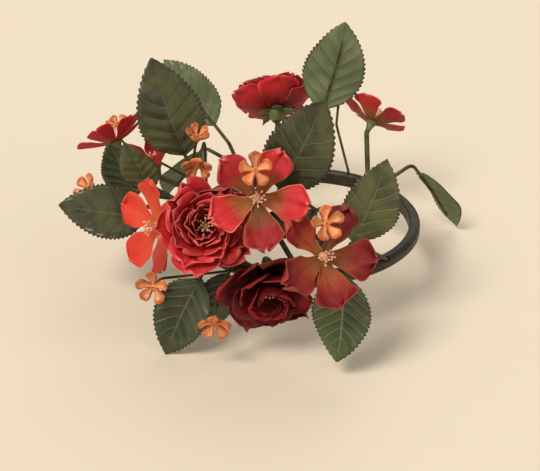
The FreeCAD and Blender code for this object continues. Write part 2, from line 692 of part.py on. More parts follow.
hoop.Tool = all_sockets
keep("base_hoop", hoop)

doc.recompute()
for item in doc.Objects:
    if "Invalid" in item.State or "Error" in item.State:
        raise ValueError("%s did not compute" % item.Name)
for name, item in sub_parts.items():
    check_solid(name, item.Shape)

os.makedirs("parts", exist_ok=True)
for name, item in sub_parts.items():
    shape = item.Shape
    if any(face.Surface.TypeId == "Part::GeomBSplineSurface" for face in shape.Faces):
        flat = with_true_planes(shape)
        check_solid(name, flat)
        if abs(flat.Volume - shape.Volume) > SAME_SHARE * shape.Volume:
            raise ValueError("%s changed as its faces were made planes" % name)
        shape = flat
    shape.exportStep("parts/%s.step" % name)
print("%d parts written" % len(sub_parts))
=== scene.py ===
"""Looks for a candle ring of artificial flowers: cloth petals and leaves, waxy blossoms, wire stems.

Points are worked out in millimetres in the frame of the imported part, and Skin.piece turns them into
metres. A table whose name ends in SHARES holds shares of the reach, length or radius that it follows.
A flower head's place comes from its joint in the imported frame; leaves and blossoms stand where the
model has them.
"""

import json
import math
import random

import bpy
import numpy as np
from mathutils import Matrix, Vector


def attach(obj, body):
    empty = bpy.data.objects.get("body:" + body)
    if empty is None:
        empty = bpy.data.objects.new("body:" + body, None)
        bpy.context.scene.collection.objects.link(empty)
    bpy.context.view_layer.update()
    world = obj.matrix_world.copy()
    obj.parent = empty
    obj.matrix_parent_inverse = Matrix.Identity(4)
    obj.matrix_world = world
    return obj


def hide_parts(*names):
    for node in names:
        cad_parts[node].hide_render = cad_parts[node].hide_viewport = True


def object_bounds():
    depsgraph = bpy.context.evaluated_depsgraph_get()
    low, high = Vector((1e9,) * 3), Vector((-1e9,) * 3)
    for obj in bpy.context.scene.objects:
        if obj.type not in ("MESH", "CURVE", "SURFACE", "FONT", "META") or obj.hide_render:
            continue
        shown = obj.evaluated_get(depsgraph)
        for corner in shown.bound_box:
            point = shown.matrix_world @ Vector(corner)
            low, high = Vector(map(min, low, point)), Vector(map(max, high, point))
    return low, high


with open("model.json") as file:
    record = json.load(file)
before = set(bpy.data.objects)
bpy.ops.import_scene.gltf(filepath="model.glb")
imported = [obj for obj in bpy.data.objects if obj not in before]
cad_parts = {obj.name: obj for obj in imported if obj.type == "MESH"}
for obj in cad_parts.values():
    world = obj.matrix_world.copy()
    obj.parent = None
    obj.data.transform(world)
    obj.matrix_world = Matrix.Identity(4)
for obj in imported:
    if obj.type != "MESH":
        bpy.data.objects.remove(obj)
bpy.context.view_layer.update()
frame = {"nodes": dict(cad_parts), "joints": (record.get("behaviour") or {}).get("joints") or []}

MM = 0.001
FULL_TURN = 2 * math.pi
UP = np.array([0.0, 0.0, 1.0])

# The middle line of the hoop, and the bend of every stem
CORE_RADIUS_MM = 42.0
CORE_HEIGHT_MM = 2.5
BEND_RADIUS_MM = 3.0

# Side veins of a leaf, pressed into its shape and drawn by its material
LEAF_VEINS = {"olive": 7.0, "bright": 9.0, "dark": 7.0, "under": 7.0}
VEIN_SLANT = 1.5


# Small helpers for directions and frames
def unit(azimuth, height_angle):
    """The direction at an azimuth and a height angle, in degrees."""
    a, h = math.radians(azimuth), math.radians(height_angle)
    return np.array([math.cos(h) * math.cos(a), math.cos(h) * math.sin(a), math.sin(h)])


def spot(azimuth, radius_share, height_share):
    """A place round the hoop, in shares of the hoop's middle radius."""
    a = math.radians(azimuth)
    return CORE_RADIUS_MM * np.array([math.cos(a) * radius_share, math.sin(a) * radius_share, height_share])


def normalised(v):
    return v / np.linalg.norm(v)


def smoothstep(low, high, x):
    t = np.clip((x - low) / (high - low), 0.0, 1.0)
    return t * t * (3 - 2 * t)


def head_frame(top, facing, spin):
    """Columns X, Y, Z of a flower head's frame and its origin, with petal 0 turned by spin."""
    x = normalised(UP - facing * facing[2])
    y = np.cross(facing, x)
    a = math.radians(spin)
    return np.stack([x * math.cos(a) + y * math.sin(a), y * math.cos(a) - x * math.sin(a), facing], 1), top


def joint_frame(head, spin):
    """The frame of a flower head, from the joint that it turns on."""
    joint = next(j for j in frame["joints"] if j["name"] == head + "_turn")
    return head_frame(np.array(joint["pos_m"]) / MM, normalised(np.array(joint["axis"])), spin)


def curve_through(rows, u):
    """Smooth curves through the rows of a table, at shares u of the way along it."""
    rows = np.array(rows, float)
    steps = np.linalg.norm(np.diff(rows[:, :2], axis=0), axis=1)
    place = np.concatenate([[0.0], np.cumsum(steps)])
    place /= place[-1]
    slopes = np.gradient(rows, place, axis=0)
    k = np.clip(np.searchsorted(place, u, side="right") - 1, 0, len(place) - 2)
    width = (place[k + 1] - place[k])[:, None]
    t = ((u - place[k]) / width[:, 0])[:, None]
    h00, h10 = 2 * t**3 - 3 * t**2 + 1, t**3 - 2 * t**2 + t
    h01, h11 = -2 * t**3 + 3 * t**2, t**3 - t**2
    return h00 * rows[k] + h10 * width * slopes[k] + h01 * rows[k + 1] + h11 * width * slopes[k + 1]


# Mesh building
class Skin:
    """Collects grids and tubes of one piece, with the values that its materials read."""

    def __init__(self):
        self.points, self.faces, self.slots = [], [], []
        self.run, self.side, self.tone = [], [], []

    def add(self, points, faces, run, side, tone, slot=0):
        """run goes from root to tip, side from rim to rim, and tone tells pieces apart."""
        first = sum(len(p) for p in self.points)
        self.points.append(points)
        self.faces += [tuple(first + i for i in face) for face in faces]
        self.slots += [slot] * len(faces)
        self.run.append(np.broadcast_to(run, len(points)))
        self.side.append(np.broadcast_to(side, len(points)))
        self.tone.append(np.broadcast_to(tone, len(points)))

    def grid(self, points, run, side, tone, slot=0, closed=False):
        """points is rows x columns x 3; closed joins the last column to the first."""
        rows, columns = points.shape[:2]
        faces = []
        for i in range(rows - 1):
            for j in range(columns if closed else columns - 1):
                k = (j + 1) % columns
                faces.append((i * columns + j, i * columns + k, (i + 1) * columns + k, (i + 1) * columns + j))
        self.add(points.reshape(-1, 3), faces, run.reshape(-1), side.reshape(-1), tone, slot)

    def tube(self, line, radii, sides=10, tone=0.5, slot=0):
        """A round tube along a line of points, closed at both ends."""
        steep = 0.9
        line = np.array(line, float)
        radii = np.broadcast_to(np.array(radii, float), len(line))
        along = np.gradient(line, axis=0)
        along /= np.linalg.norm(along, axis=1)[:, None]
        across = np.cross(along[0], UP if abs(along[0][2]) < steep else np.array([1.0, 0.0, 0.0]))
        angles = np.linspace(0, FULL_TURN, sides, endpoint=False)
        rings = []
        for point, direction, radius in zip(line, along, radii):
            across = normalised(across - direction * (across @ direction))
            other = np.cross(direction, across)
            circle = np.outer(np.cos(angles), across) + np.outer(np.sin(angles), other)
            rings.append(point + radius * circle)
        rings = np.array(rings)
        run = np.repeat(np.linspace(0, 1, len(line))[:, None], sides, 1)
        side = np.repeat(np.abs(np.linspace(-1, 1, sides))[None], len(line), 0)
        first = sum(len(p) for p in self.points)
        self.grid(rings, run, side, tone, slot, closed=True)
        last = first + (len(line) - 1) * sides
        self.faces.append(tuple(first + i for i in reversed(range(sides))))
        self.faces.append(tuple(last + i for i in range(sides)))
        self.slots += [slot, slot]

    def piece(self, name, body, materials, nodes, place=None, cloth_mm=0.0, smooth=1, back=0):
        """Makes the object, seats it, gives it thickness and lets it stand for its CAD nodes.

        back is the step from the front's material to that of the back and the rim.
        """
        points = np.concatenate(self.points)
        if place is not None:
            points = points @ place[0].T + place[1]
        mesh = bpy.data.meshes.new(name)
        mesh.from_pydata((points * MM).tolist(), [], self.faces)
        for label, values in (("run", self.run), ("side", self.side), ("tone", self.tone)):
            layer = mesh.attributes.new(label, "FLOAT", "POINT")
            layer.data.foreach_set("value", np.concatenate(values).astype(np.float32))
        for material in materials:
            mesh.materials.append(material)
        mesh.polygons.foreach_set("material_index", self.slots)
        mesh.polygons.foreach_set("use_smooth", [True] * len(mesh.polygons))
        mesh.update()
        thing = bpy.data.objects.new(name, mesh)
        bpy.context.scene.collection.objects.link(thing)
        if cloth_mm:
            solid = thing.modifiers.new("thickness", "SOLIDIFY")
            solid.thickness = cloth_mm * MM
            solid.offset = 0.0
            solid.material_offset = back
            solid.material_offset_rim = back
        if smooth:
            finer = thing.modifiers.new("smooth", "SUBSURF")
            finer.levels = smooth
            finer.render_levels = smooth
        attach(thing, body)
        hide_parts(*nodes)


# Materials
SPECULAR = 0.35
COAT_ROUGHNESS = 0.25


def make_material(name, roughness, coat=0.0):
    material = bpy.data.materials.new(name)
    material.use_nodes = True
    shader = material.node_tree.nodes["Principled BSDF"]
    shader.inputs["Roughness"].default_value = roughness
    shader.inputs["Specular IOR Level"].default_value = SPECULAR
    shader.inputs["Coat Weight"].default_value = coat
    shader.inputs["Coat Roughness"].default_value = COAT_ROUGHNESS
    return material, shader


class Nodes:
    """Short names for the shader nodes that the materials share."""

    def __init__(self, material):
        self.tree = material.node_tree

    def add(self, kind):
        return self.tree.nodes.new(kind)

    def link(self, source, target):
        self.tree.links.new(source, target)

    def value(self, label):
        """One of the values that Skin keeps with every point."""
        node = self.add("ShaderNodeAttribute")
        node.attribute_name = label
        return node.outputs["Fac"]

    def maths(self, operation, a, b=None):
        node = self.add("ShaderNodeMath")
        node.operation = operation
        for socket, given in zip(node.inputs, (a, b)):
            if given is None:
                continue
            if isinstance(given, (int, float)):
                socket.default_value = given
            else:
                self.link(given, socket)
        return node.outputs[0]

    def around(self, value, share):
        """A value of a noise, moved to swing about zero and scaled."""
        return self.maths("MULTIPLY", self.maths("SUBTRACT", value, 0.5), share)

    def shaded(self, colour, tone, share, least):
        """A colour made lighter or darker by a petal's or leaf's own tone."""
        shade = self.maths("ADD", self.maths("MULTIPLY", tone, share), least)
        return self.mix(1.0, colour, self.combine(shade, shade, shade), "MULTIPLY")

    def between(self, low, high, value):
        """0 below low and 1 above high, with a smooth step; the other way round when low is above high."""
        node = self.add("ShaderNodeMapRange")
        node.interpolation_type = "SMOOTHSTEP"
        node.inputs["From Min"].default_value = low
        node.inputs["From Max"].default_value = high
        self.link(value, node.inputs["Value"])
        return node.outputs["Result"]

    def ramp(self, value, stops):
        node = self.add("ShaderNodeValToRGB")
        elements = node.color_ramp.elements
        while len(elements) < len(stops):
            elements.new(0.5)
        for element, (place, colour) in zip(elements, stops):
            element.position = place
            element.color = (*colour, 1.0)
        self.link(value, node.inputs["Fac"])
        return node.outputs["Color"]

    def mix(self, share, a, b, kind="MIX"):
        node = self.add("ShaderNodeMix")
        node.data_type = "RGBA"
        node.blend_type = kind
        for socket, given in ((node.inputs["Factor"], share), (node.inputs[6], a), (node.inputs[7], b)):
            if isinstance(given, tuple):
                socket.default_value = (*given, 1.0)
            elif isinstance(given, (int, float)):
                socket.default_value = given
            else:
                self.link(given, socket)
        return node.outputs[2]

    def combine(self, x, y, z=0.0):
        node = self.add("ShaderNodeCombineXYZ")
        for socket, given in zip(node.inputs, (x, y, z)):
            if isinstance(given, (int, float)):
                socket.default_value = given
            else:
                self.link(given, socket)
        return node.outputs[0]

    def noise(self, scale, detail=2.0, place=None, spread=0.0):
        node = self.add("ShaderNodeTexNoise")
        node.inputs["Scale"].default_value = scale
        node.inputs["Detail"].default_value = detail
        node.inputs["Distortion"].default_value = spread
        if place is None:
            place = self.add("ShaderNodeTexCoord").outputs["Object"]
        self.link(place, node.inputs["Vector"])
        return node.outputs["Fac"]

    def bump(self, height, strength, distance_mm, under=None):
        node = self.add("ShaderNodeBump")
        node.inputs["Strength"].default_value = strength
        node.inputs["Distance"].default_value = distance_mm * MM
        self.link(height, node.inputs["Height"])
        if under is not None:
            self.link(under, node.inputs["Normal"])
        return node.outputs["Normal"]


def petal_material(name, stops, rim, rim_highlight_share, dark, streak_share):
    """Dyed cloth: a run of colour from root to tip, a painted highlight along the rim, dye blotches, veins
    and weave.
    """
    material, shader = make_material(name, 0.62)
    n = Nodes(material)
    run, side, tone = n.value("run"), n.value("side"), n.value("tone")
    wobble = n.noise(260.0, 3.0)
    # On a rose's petals, the dark start of this run is painted shade between the packed petals towards the
    # middle.
    colour = n.ramp(n.maths("ADD", run, n.around(wobble, 0.35)), stops)
    streaks = n.combine(n.maths("MULTIPLY", side, 13.0), n.maths("MULTIPLY", run, 1.6), tone)
    veins = n.noise(1.0, 3.0, streaks)
    colour = n.mix(n.maths("MULTIPLY", n.between(0.52, 0.72, veins), streak_share), colour, dark)
    blotch = n.between(0.45, 0.75, n.noise(120.0, 4.0, spread=0.4))
    colour = n.mix(n.maths("MULTIPLY", blotch, 0.35), colour, dark)
    # Painted highlight: the rim colour is mixed in along the petal's sides and tip, as if its edges caught
    # the light.
    edge = n.maths("MAXIMUM", n.maths("ABSOLUTE", side), run)
    rim_mask = n.between(0.92, 1.01, n.maths("ADD", edge, n.around(wobble, 0.12)))
    colour = n.mix(n.maths("MULTIPLY", rim_mask, rim_highlight_share), colour, rim)
    n.link(n.shaded(colour, tone, 0.55, 0.62), shader.inputs["Base Color"])
    weave = n.bump(n.noise(3800.0, 1.0), 0.25, 0.12)
    n.link(n.bump(veins, 0.55, 0.5, weave), shader.inputs["Normal"])
    return material


def leaf_material(name, deep, light, vein, vein_share, gloss, side_veins):
    """Dyed and pressed cloth: midrib, side veins, blotches and a dark cut rim."""
    dark_rim = (0.045, 0.022, 0.010)
    material, shader = make_material(name, gloss, coat=0.5)
    n = Nodes(material)
    run, side, tone = n.value("run"), n.value("side"), n.value("tone")
    away = n.maths("ABSOLUTE", side)
    wobble = n.noise(150.0, 3.0)
    phase = n.maths("SUBTRACT", n.maths("MULTIPLY", run, side_veins), n.maths("MULTIPLY", away, VEIN_SLANT))
    phase = n.maths("ADD", phase, n.around(wobble, 0.5))
    wave = n.maths("ABSOLUTE", n.maths("SUBTRACT", n.maths("FRACT", phase), 0.5))
    side_vein = n.maths("MULTIPLY", n.between(0.10, 0.0, wave), n.between(0.86, 0.70, run))
    midrib = n.between(0.055, 0.015, away)
    veins = n.maths("MAXIMUM", side_vein, midrib)
    patches = n.between(0.35, 0.7, n.noise(95.0, 4.0, spread=0.6))
    colour = n.mix(patches, deep, light)
    fleck = n.noise(1.0, 4.0, n.combine(n.maths("MULTIPLY", side, 9.0), n.maths("MULTIPLY", run, 5.0), tone))
    colour = n.mix(n.maths("MULTIPLY", n.between(0.58, 0.74, fleck), 0.3), colour, light)
    colour = n.mix(n.maths("MULTIPLY", veins, vein_share), colour, vein)
    rim_mask = n.between(0.93, 0.985, n.maths("ADD", away, n.around(wobble, 0.06)))
    colour = n.mix(n.maths("MULTIPLY", rim_mask, 0.85), colour, dark_rim)
    n.link(n.shaded(colour, tone, 0.5, 0.75), shader.inputs["Base Color"])
    n.link(n.maths("ADD", n.maths("MULTIPLY", fleck, 0.25), gloss - 0.1), shader.inputs["Roughness"])
    weave = n.bump(n.noise(3000.0, 1.0), 0.2, 0.1)
    n.link(n.bump(veins, 0.5, 0.35, weave), shader.inputs["Normal"])
    return material


def blossom_material(name, core, body, rim):
    """Waxy moulded blossoms: pale inside, darker dye along the lobes' rims."""
    waxiness = 0.12
    glow_depth_m = (0.002, 0.001, 0.0005)
    material, shader = make_material(name, 0.45, coat=0.12)
    shader.inputs["Subsurface Weight"].default_value = waxiness
    shader.inputs["Subsurface Radius"].default_value = glow_depth_m
    n = Nodes(material)
    run, side, tone = n.value("run"), n.value("side"), n.value("tone")
    wobble = n.noise(420.0, 3.0)
    edge = n.maths("MAXIMUM", n.maths("ABSOLUTE", side), run)
    edge = n.maths("ADD", edge, n.around(wobble, 0.3))
    colour = n.ramp(edge, [(0.0, core), (0.45, body), (0.78, body), (1.0, rim)])
    colour = n.mix(n.maths("MULTIPLY", n.between(0.5, 0.75, n.noise(700.0, 2.0)), 0.3), colour, rim)
    n.link(n.shaded(colour, tone, 0.4, 0.8), shader.inputs["Base Color"])
    n.link(n.bump(n.noise(1500.0, 2.0), 0.2, 0.2), shader.inputs["Normal"])
    return material


def plain_material(name, first, second, scale, roughness, bump_scale, bump_share):
    """Wrapped wire, moulded green plastic or the hoop: two tones in patches and a fine surface."""
    material, shader = make_material(name, roughness)
    n = Nodes(material)
    colour = n.mix(n.between(0.35, 0.68, n.noise(scale, 4.0, spread=0.5)), first, second)
    n.link(colour, shader.inputs["Base Color"])
    n.link(n.bump(n.noise(bump_scale, 3.0), bump_share, 0.3), shader.inputs["Normal"])
    return material


# Colours are linear. A petal's dye has its run of colour from root to tip, its rim colour (a painted
# highlight) and how much of it shows, the dark dye and the share of dark streaks.
PETAL_DYES = {
    # The rose dyes start dark at the root as painted shade between a rose's packed petals; heart, for the
    # inner petals, is darker still as painted shade of the rose's deep middle.
    "red": (
        [(0.0, (0.07, 0.001, 0.002)), (0.35, (0.28, 0.004, 0.008)), (0.8, (0.57, 0.015, 0.020))],
        (0.84, 0.15, 0.12), 0.7, (0.17, 0.002, 0.004), 0.35),
    "heart": (
        [(0.0, (0.04, 0.001, 0.001)), (0.5, (0.24, 0.003, 0.006)), (1.0, (0.52, 0.016, 0.020))],
        (0.84, 0.18, 0.14), 0.7, (0.10, 0.001, 0.002), 0.35),
    # The dark rose's own deep red, made darker still as painted shade.
    "maroon": (
        [(0.0, (0.030, 0.001, 0.001)), (0.5, (0.12, 0.002, 0.003)), (1.0, (0.22, 0.004, 0.006))],
        (0.40, 0.022, 0.022), 0.28, (0.045, 0.001, 0.001), 0.35),
    "coral": (
        [(0.0, (0.22, 0.10, 0.020)), (0.36, (0.34, 0.095, 0.025)), (0.58, (0.52, 0.022, 0.022)),
         (0.85, (0.60, 0.026, 0.032))],
        (0.86, 0.22, 0.17), 0.8, (0.24, 0.005, 0.010), 0.5),
    "rust": (
        [(0.0, (0.26, 0.11, 0.022)), (0.40, (0.34, 0.060, 0.016)), (0.70, (0.26, 0.008, 0.008)),
         (0.95, (0.20, 0.005, 0.006))],
        (0.58, 0.085, 0.055), 0.65, (0.10, 0.002, 0.003), 0.45),
    "orange": (
        [(0.0, (0.52, 0.12, 0.025)), (0.3, (0.66, 0.075, 0.028)), (0.8, (0.64, 0.042, 0.024))],
        (0.78, 0.13, 0.055), 0.55, (0.46, 0.020, 0.014), 0.25),
    "crimson": (
        [(0.0, (0.50, 0.075, 0.018)), (0.35, (0.50, 0.012, 0.014)), (1.0, (0.54, 0.008, 0.018))],
        (0.64, 0.045, 0.045), 0.5, (0.27, 0.003, 0.006), 0.35),
}
# A leaf's dye has its deep and light green, its veins and how much of them shows, and its roughness.
LEAF_DYES = {
    "olive": ((0.032, 0.037, 0.010), (0.075, 0.082, 0.024), (0.15, 0.16, 0.06), 0.38, 0.46),
    "bright": ((0.050, 0.075, 0.016), (0.11, 0.15, 0.045), (0.30, 0.35, 0.18), 0.75, 0.42),
    "dark": ((0.020, 0.030, 0.009), (0.055, 0.072, 0.022), (0.16, 0.18, 0.09), 0.5, 0.38),
    "under": ((0.085, 0.110, 0.045), (0.15, 0.18, 0.085), (0.07, 0.085, 0.03), 0.5, 0.6),
}
PETALS = {dye: petal_material("petal_" + dye, *row) for dye, row in PETAL_DYES.items()}
LEAVES = {dye: leaf_material("leaf_" + dye, *row, LEAF_VEINS[dye]) for dye, row in LEAF_DYES.items()}
BLOSSOM = blossom_material("blossom_wax", (0.74, 0.42, 0.17), (0.72, 0.31, 0.125), (0.58, 0.13, 0.035))
STAMEN = blossom_material("stamen_thread", (0.50, 0.20, 0.09), (0.78, 0.38, 0.22), (0.84, 0.50, 0.32))
STEM = plain_material("stem_wrap", (0.030, 0.026, 0.008), (0.075, 0.075, 0.020), 300.0, 0.6, 1400.0, 0.5)
GREEN = plain_material("moulded_green", (0.070, 0.085, 0.020), (0.13, 0.15, 0.045), 260.0, 0.5, 900.0, 0.3)
HOOP = plain_material("hoop_dark", (0.018, 0.012, 0.008), (0.040, 0.030, 0.016), 160.0, 0.5, 700.0, 0.6)


# Petals. A row is how far out, how far up and how wide to each side, in shares of the petal's reach.
OUTER_SHARES = [
    (0.10, 0.02, 0.10), (0.36, 0.05, 0.32), (0.62, 0.13, 0.48), (0.82, 0.26, 0.50), (0.94, 0.37, 0.44),
    (0.99, 0.44, 0.36)]
SECOND_SHARES = [
    (0.10, 0.03, 0.09), (0.33, 0.09, 0.32), (0.55, 0.20, 0.50), (0.74, 0.36, 0.55), (0.82, 0.48, 0.50),
    (0.84, 0.54, 0.43)]
MIDDLE_SHARES = [
    (0.10, 0.02, 0.09), (0.30, 0.10, 0.30), (0.50, 0.28, 0.46), (0.63, 0.47, 0.50), (0.68, 0.58, 0.45)]
FOURTH_SHARES = [
    (0.10, 0.03, 0.09), (0.26, 0.13, 0.26), (0.42, 0.32, 0.42), (0.50, 0.50, 0.45), (0.52, 0.61, 0.40)]
INNER_SHARES = [
    (0.09, 0.02, 0.08), (0.22, 0.13, 0.22), (0.33, 0.34, 0.33), (0.37, 0.52, 0.36), (0.36, 0.63, 0.31)]
HEART_SHARES = [
    (0.09, 0.03, 0.07), (0.17, 0.14, 0.16), (0.24, 0.32, 0.25), (0.25, 0.47, 0.26), (0.21, 0.56, 0.20)]
FLORET_SHARES = [
    (0.08, 0.01, 0.08), (0.32, 0.06, 0.145), (0.56, 0.14, 0.25), (0.78, 0.23, 0.345), (0.91, 0.30, 0.32),
    (0.98, 0.35, 0.24)]
BROAD_SHARES = [
    (0.08, 0.01, 0.09), (0.32, 0.06, 0.19), (0.56, 0.14, 0.32), (0.78, 0.23, 0.40), (0.91, 0.30, 0.37),
    (0.98, 0.35, 0.27)]
STAR_SHARES = [
    (0.10, 0.02, 0.10), (0.26, 0.17, 0.17), (0.44, 0.36, 0.27), (0.62, 0.56, 0.28), (0.76, 0.70, 0.18),
    (0.87, 0.80, 0.05)]
SEPAL_SHARES = [(0.24, 0.02, 0.22), (0.50, -0.03, 0.22), (0.78, -0.10, 0.14), (1.00, -0.21, 0.03)]
LOBE_SHARES = [
    (0.10, 0.04, 0.11), (0.40, 0.09, 0.17), (0.68, 0.22, 0.29), (0.88, 0.35, 0.27), (0.95, 0.42, 0.15)]

# A petal's sheet: its rows crowd towards the tip, where its outline closes. Shares of its length run
# from the root to the tip, and shares of its half width from the middle to the rim.
ROW_CROWDING = 1.35
TIP_START_SHARE = 0.80
TIP_CLOSING_SHARE = 0.90
LEAST_HALF_SHARE = 0.02
CREASE_HALF_SHARE = 0.10
POINT_HALF_SHARE = 0.45
ROLL_START_SHARE = 0.72
WRAP_LEAST_SHARE = 0.28


def look_of(cup=0.24, ruffle=0.5, waves=2.0, twist=0.1, roll=0.5, crease=0.1, point=0.0, scallop=0.35,
            wrap=0.0, bow=0.0):
    """How a petal is formed: cup and twist in shares of its half width, ruffle, roll, crease, scallop and
    bow in millimetres, point in shares of its reach, and wrap as how closely it goes round the flower."""
    return {"cup": cup, "ruffle": ruffle, "waves": waves, "twist": twist, "roll": roll, "crease": crease,
            "point": point, "scallop": scallop, "wrap": wrap, "bow": bow}


def rim_waves(uu, tt, waves, phases):
    """Ripples across the petal, along its sides, and small ones at its tip."""
    across = np.sin(waves * math.pi * tt + phases[0]) * smoothstep(0.2, 1.0, uu)
    along = 0.6 * np.sin(waves * 1.9 * math.pi * uu + 2.0 * tt + phases[1]) * np.abs(tt)
    small = 0.3 * np.sin(6.1 * math.pi * tt * uu + phases[2]) * uu**3
    return across + along + small


def petal(skin, azimuth, reach, shares, level, rng, look, rows=16, columns=14):
    """One petal, a smooth sheet through the table's cuts, cupped, twisted, ruffled and rolled at its rim."""
    u = 1 - (1 - np.linspace(0, 1, rows + 1)) ** ROW_CROWDING
    cuts = curve_through(shares, u) * reach
    out, up, half = cuts[:, 0], cuts[:, 1], cuts[:, 2]
    tip = np.clip((u - TIP_START_SHARE) / (1 - TIP_START_SHARE), 0, 1)
    half = np.maximum(half * np.sqrt(1 - TIP_CLOSING_SHARE * tip**2), LEAST_HALF_SHARE * reach)
    uu, tt = np.meshgrid(u, np.linspace(-1, 1, columns + 1), indexing="ij")
    hh = np.repeat(half[:, None], columns + 1, 1)
    away = np.abs(tt)

    # How far each point is lifted off the plain sheet
    phases = [rng.uniform(0, FULL_TURN) for _ in range(3)]
    bow, lean = look["bow"] * rng.uniform(-1, 1), look["bow"] * rng.uniform(-0.8, 0.8)
    rim = np.clip(np.maximum(away**2.2, uu**4), 0, 1)
    near_rim = smoothstep(ROLL_START_SHARE, 1.0, np.maximum(away * smoothstep(0.3, 0.7, uu), uu))
    middle = np.exp(-((tt / CREASE_HALF_SHARE) ** 2)) * smoothstep(0.0, 0.4, uu)
    lift = look["cup"] * hh * away**1.7 + look["ruffle"] * rim * rim_waves(uu, tt, look["waves"], phases)
    lift += look["twist"] * hh * tt * uu
    lift += bow * np.sin(math.pi * uu**1.3) + lean * tt * uu
    lift -= look["roll"] * near_rim**1.5 + look["crease"] * middle

    # How far the tip is drawn out to a point or scalloped
    drawn = np.clip(1 - away / POINT_HALF_SHARE, 0, 1) ** 1.4 * smoothstep(0.86, 1.0, uu)
    point = look["point"] * reach * drawn
    point += look["scallop"] * uu**5 * (np.sin(3.4 * math.pi * tt + phases[2]) - 0.6)

    slope_out, slope_up = np.gradient(out), np.gradient(up)
    size = np.hypot(slope_out, slope_up)
    along_out, along_up = (slope_out / size)[:, None], (slope_up / size)[:, None]
    x = out[:, None] - along_up * lift + along_out * point
    z = up[:, None] + along_out * lift + along_up * point + level
    y = hh * tt * (1 + 0.05 * np.sin(3 * math.pi * uu + phases[1]))
    notches = 0.7 * tt * away**3 * np.sin(5.2 * math.pi * uu + phases[0])
    y += look["scallop"] * notches * smoothstep(0.2, 0.5, uu)
    if look["wrap"]:
        around = np.maximum(x, WRAP_LEAST_SHARE * reach) / look["wrap"]
        x, y = x - around * (1 - np.cos(y / around)), around * np.sin(y / around)
    a = math.radians(azimuth)
    points = np.stack([x * math.cos(a) - y * math.sin(a), x * math.sin(a) + y * math.cos(a), z], 2)
    skin.grid(points, uu, tt, rng.random())


def ring_of_petals(skin, count, reach, shares, level, rng, look, jitter=4.0, first=0.0, broad=()):
    """A ring of petals, each off its place by up to jitter; those named in broad have the broader table."""
    for k in range(count):
        grown = reach * (1 + rng.uniform(-0.03, 0.02))
        azimuth = first + 360.0 / count * k + rng.uniform(-jitter, jitter)
        petal(skin, azimuth, grown, BROAD_SHARES if k in broad else shares, level, rng, look)


def turned(skin, profile, tone, sides, ribs=0.0):
    """A turned shape from a profile of radius and height; ribs is how far its five ribs stand out."""
    b = np.linspace(0, FULL_TURN, sides, endpoint=False)
    profile = np.array(profile, float)
    rr = profile[:, :1] * (1 + ribs * np.cos(5 * b))
    zz = np.repeat(profile[:, 1:], sides, 1)
    skin.grid(np.stack([rr * np.cos(b), rr * np.sin(b), zz], 2), rr * 0, rr * 0, tone, closed=True)


def dome(skin, radius, low, high, tone, bumps=0.08, rows=8, columns=16):
    """A rounded, slightly knobbly button."""
    a = np.linspace(0, math.pi / 2, rows + 1)
    b = np.linspace(0, FULL_TURN, columns, endpoint=False)
    aa, bb = np.meshgrid(a, b, indexing="ij")
    r = radius * np.cos(aa) ** 0.7 * (1 + bumps * np.sin(5 * bb) * np.sin(2 * aa))
    r[-1] = radius * 0.05
    z = low + (high - low) * np.sin(aa)
    points = np.stack([r * np.cos(bb), r * np.sin(bb), z], 2)
    skin.grid(points, np.sin(aa), np.cos(bb) * 0.5, tone, closed=True)


# Stamens: their number, length and spread, the radius of their threads and tips, and where they leave the
# button
ROSE_STAMENS, ROSE_STAMEN_MM, ROSE_SPREAD_MM = 18, 5.2, 2.9
FLORET_STAMENS, FLORET_STAMEN_MM, FLORET_SPREAD_MM = 14, 5.4, 2.6
THREAD_MM = 0.16
KNOB_MM = 0.42
KNOB_SHARES = np.array([0.3, 0.85, 1.0, 0.95, 0.7, 0.2])
KNOB_FROM_MM, KNOB_TO_MM = -0.2, 0.75
STAMEN_FOOT_MM = 0.9
STAMEN_RISE_MM = 1.2


def stamens(skin, count, foot, reach, spread, rng):
    """Threads that lean out of the button, each with a small oval tip."""
    for k in range(count):
        a = FULL_TURN * k / count + rng.uniform(-0.25, 0.25)
        circle = 0.5 + 0.5 * (k % 3) / 2
        lean = spread * circle * rng.uniform(0.8, 1.15)
        tall = reach * rng.uniform(0.82, 1.0) * (1.12 - 0.25 * circle)
        start = np.array([STAMEN_FOOT_MM * math.cos(a), STAMEN_FOOT_MM * math.sin(a), foot + STAMEN_RISE_MM])
        end = np.array([lean * math.cos(a), lean * math.sin(a), foot + tall])
        bow = (start + end) / 2 + np.array([0, 0, 0.25 * (end[2] - start[2])])
        s = np.linspace(0, 1, 6)[:, None]
        line = (1 - s) ** 2 * start + 2 * s * (1 - s) * bow + s**2 * end
        skin.tube(line, THREAD_MM, 6, 0.45 + 0.3 * rng.random())
        along = normalised(line[-1] - line[-2])
        knob = np.array([end + along * q for q in np.linspace(KNOB_FROM_MM, KNOB_TO_MM, len(KNOB_SHARES))])
        skin.tube(knob, KNOB_MM * KNOB_SHARES, 8, 0.5 + 0.5 * rng.random())


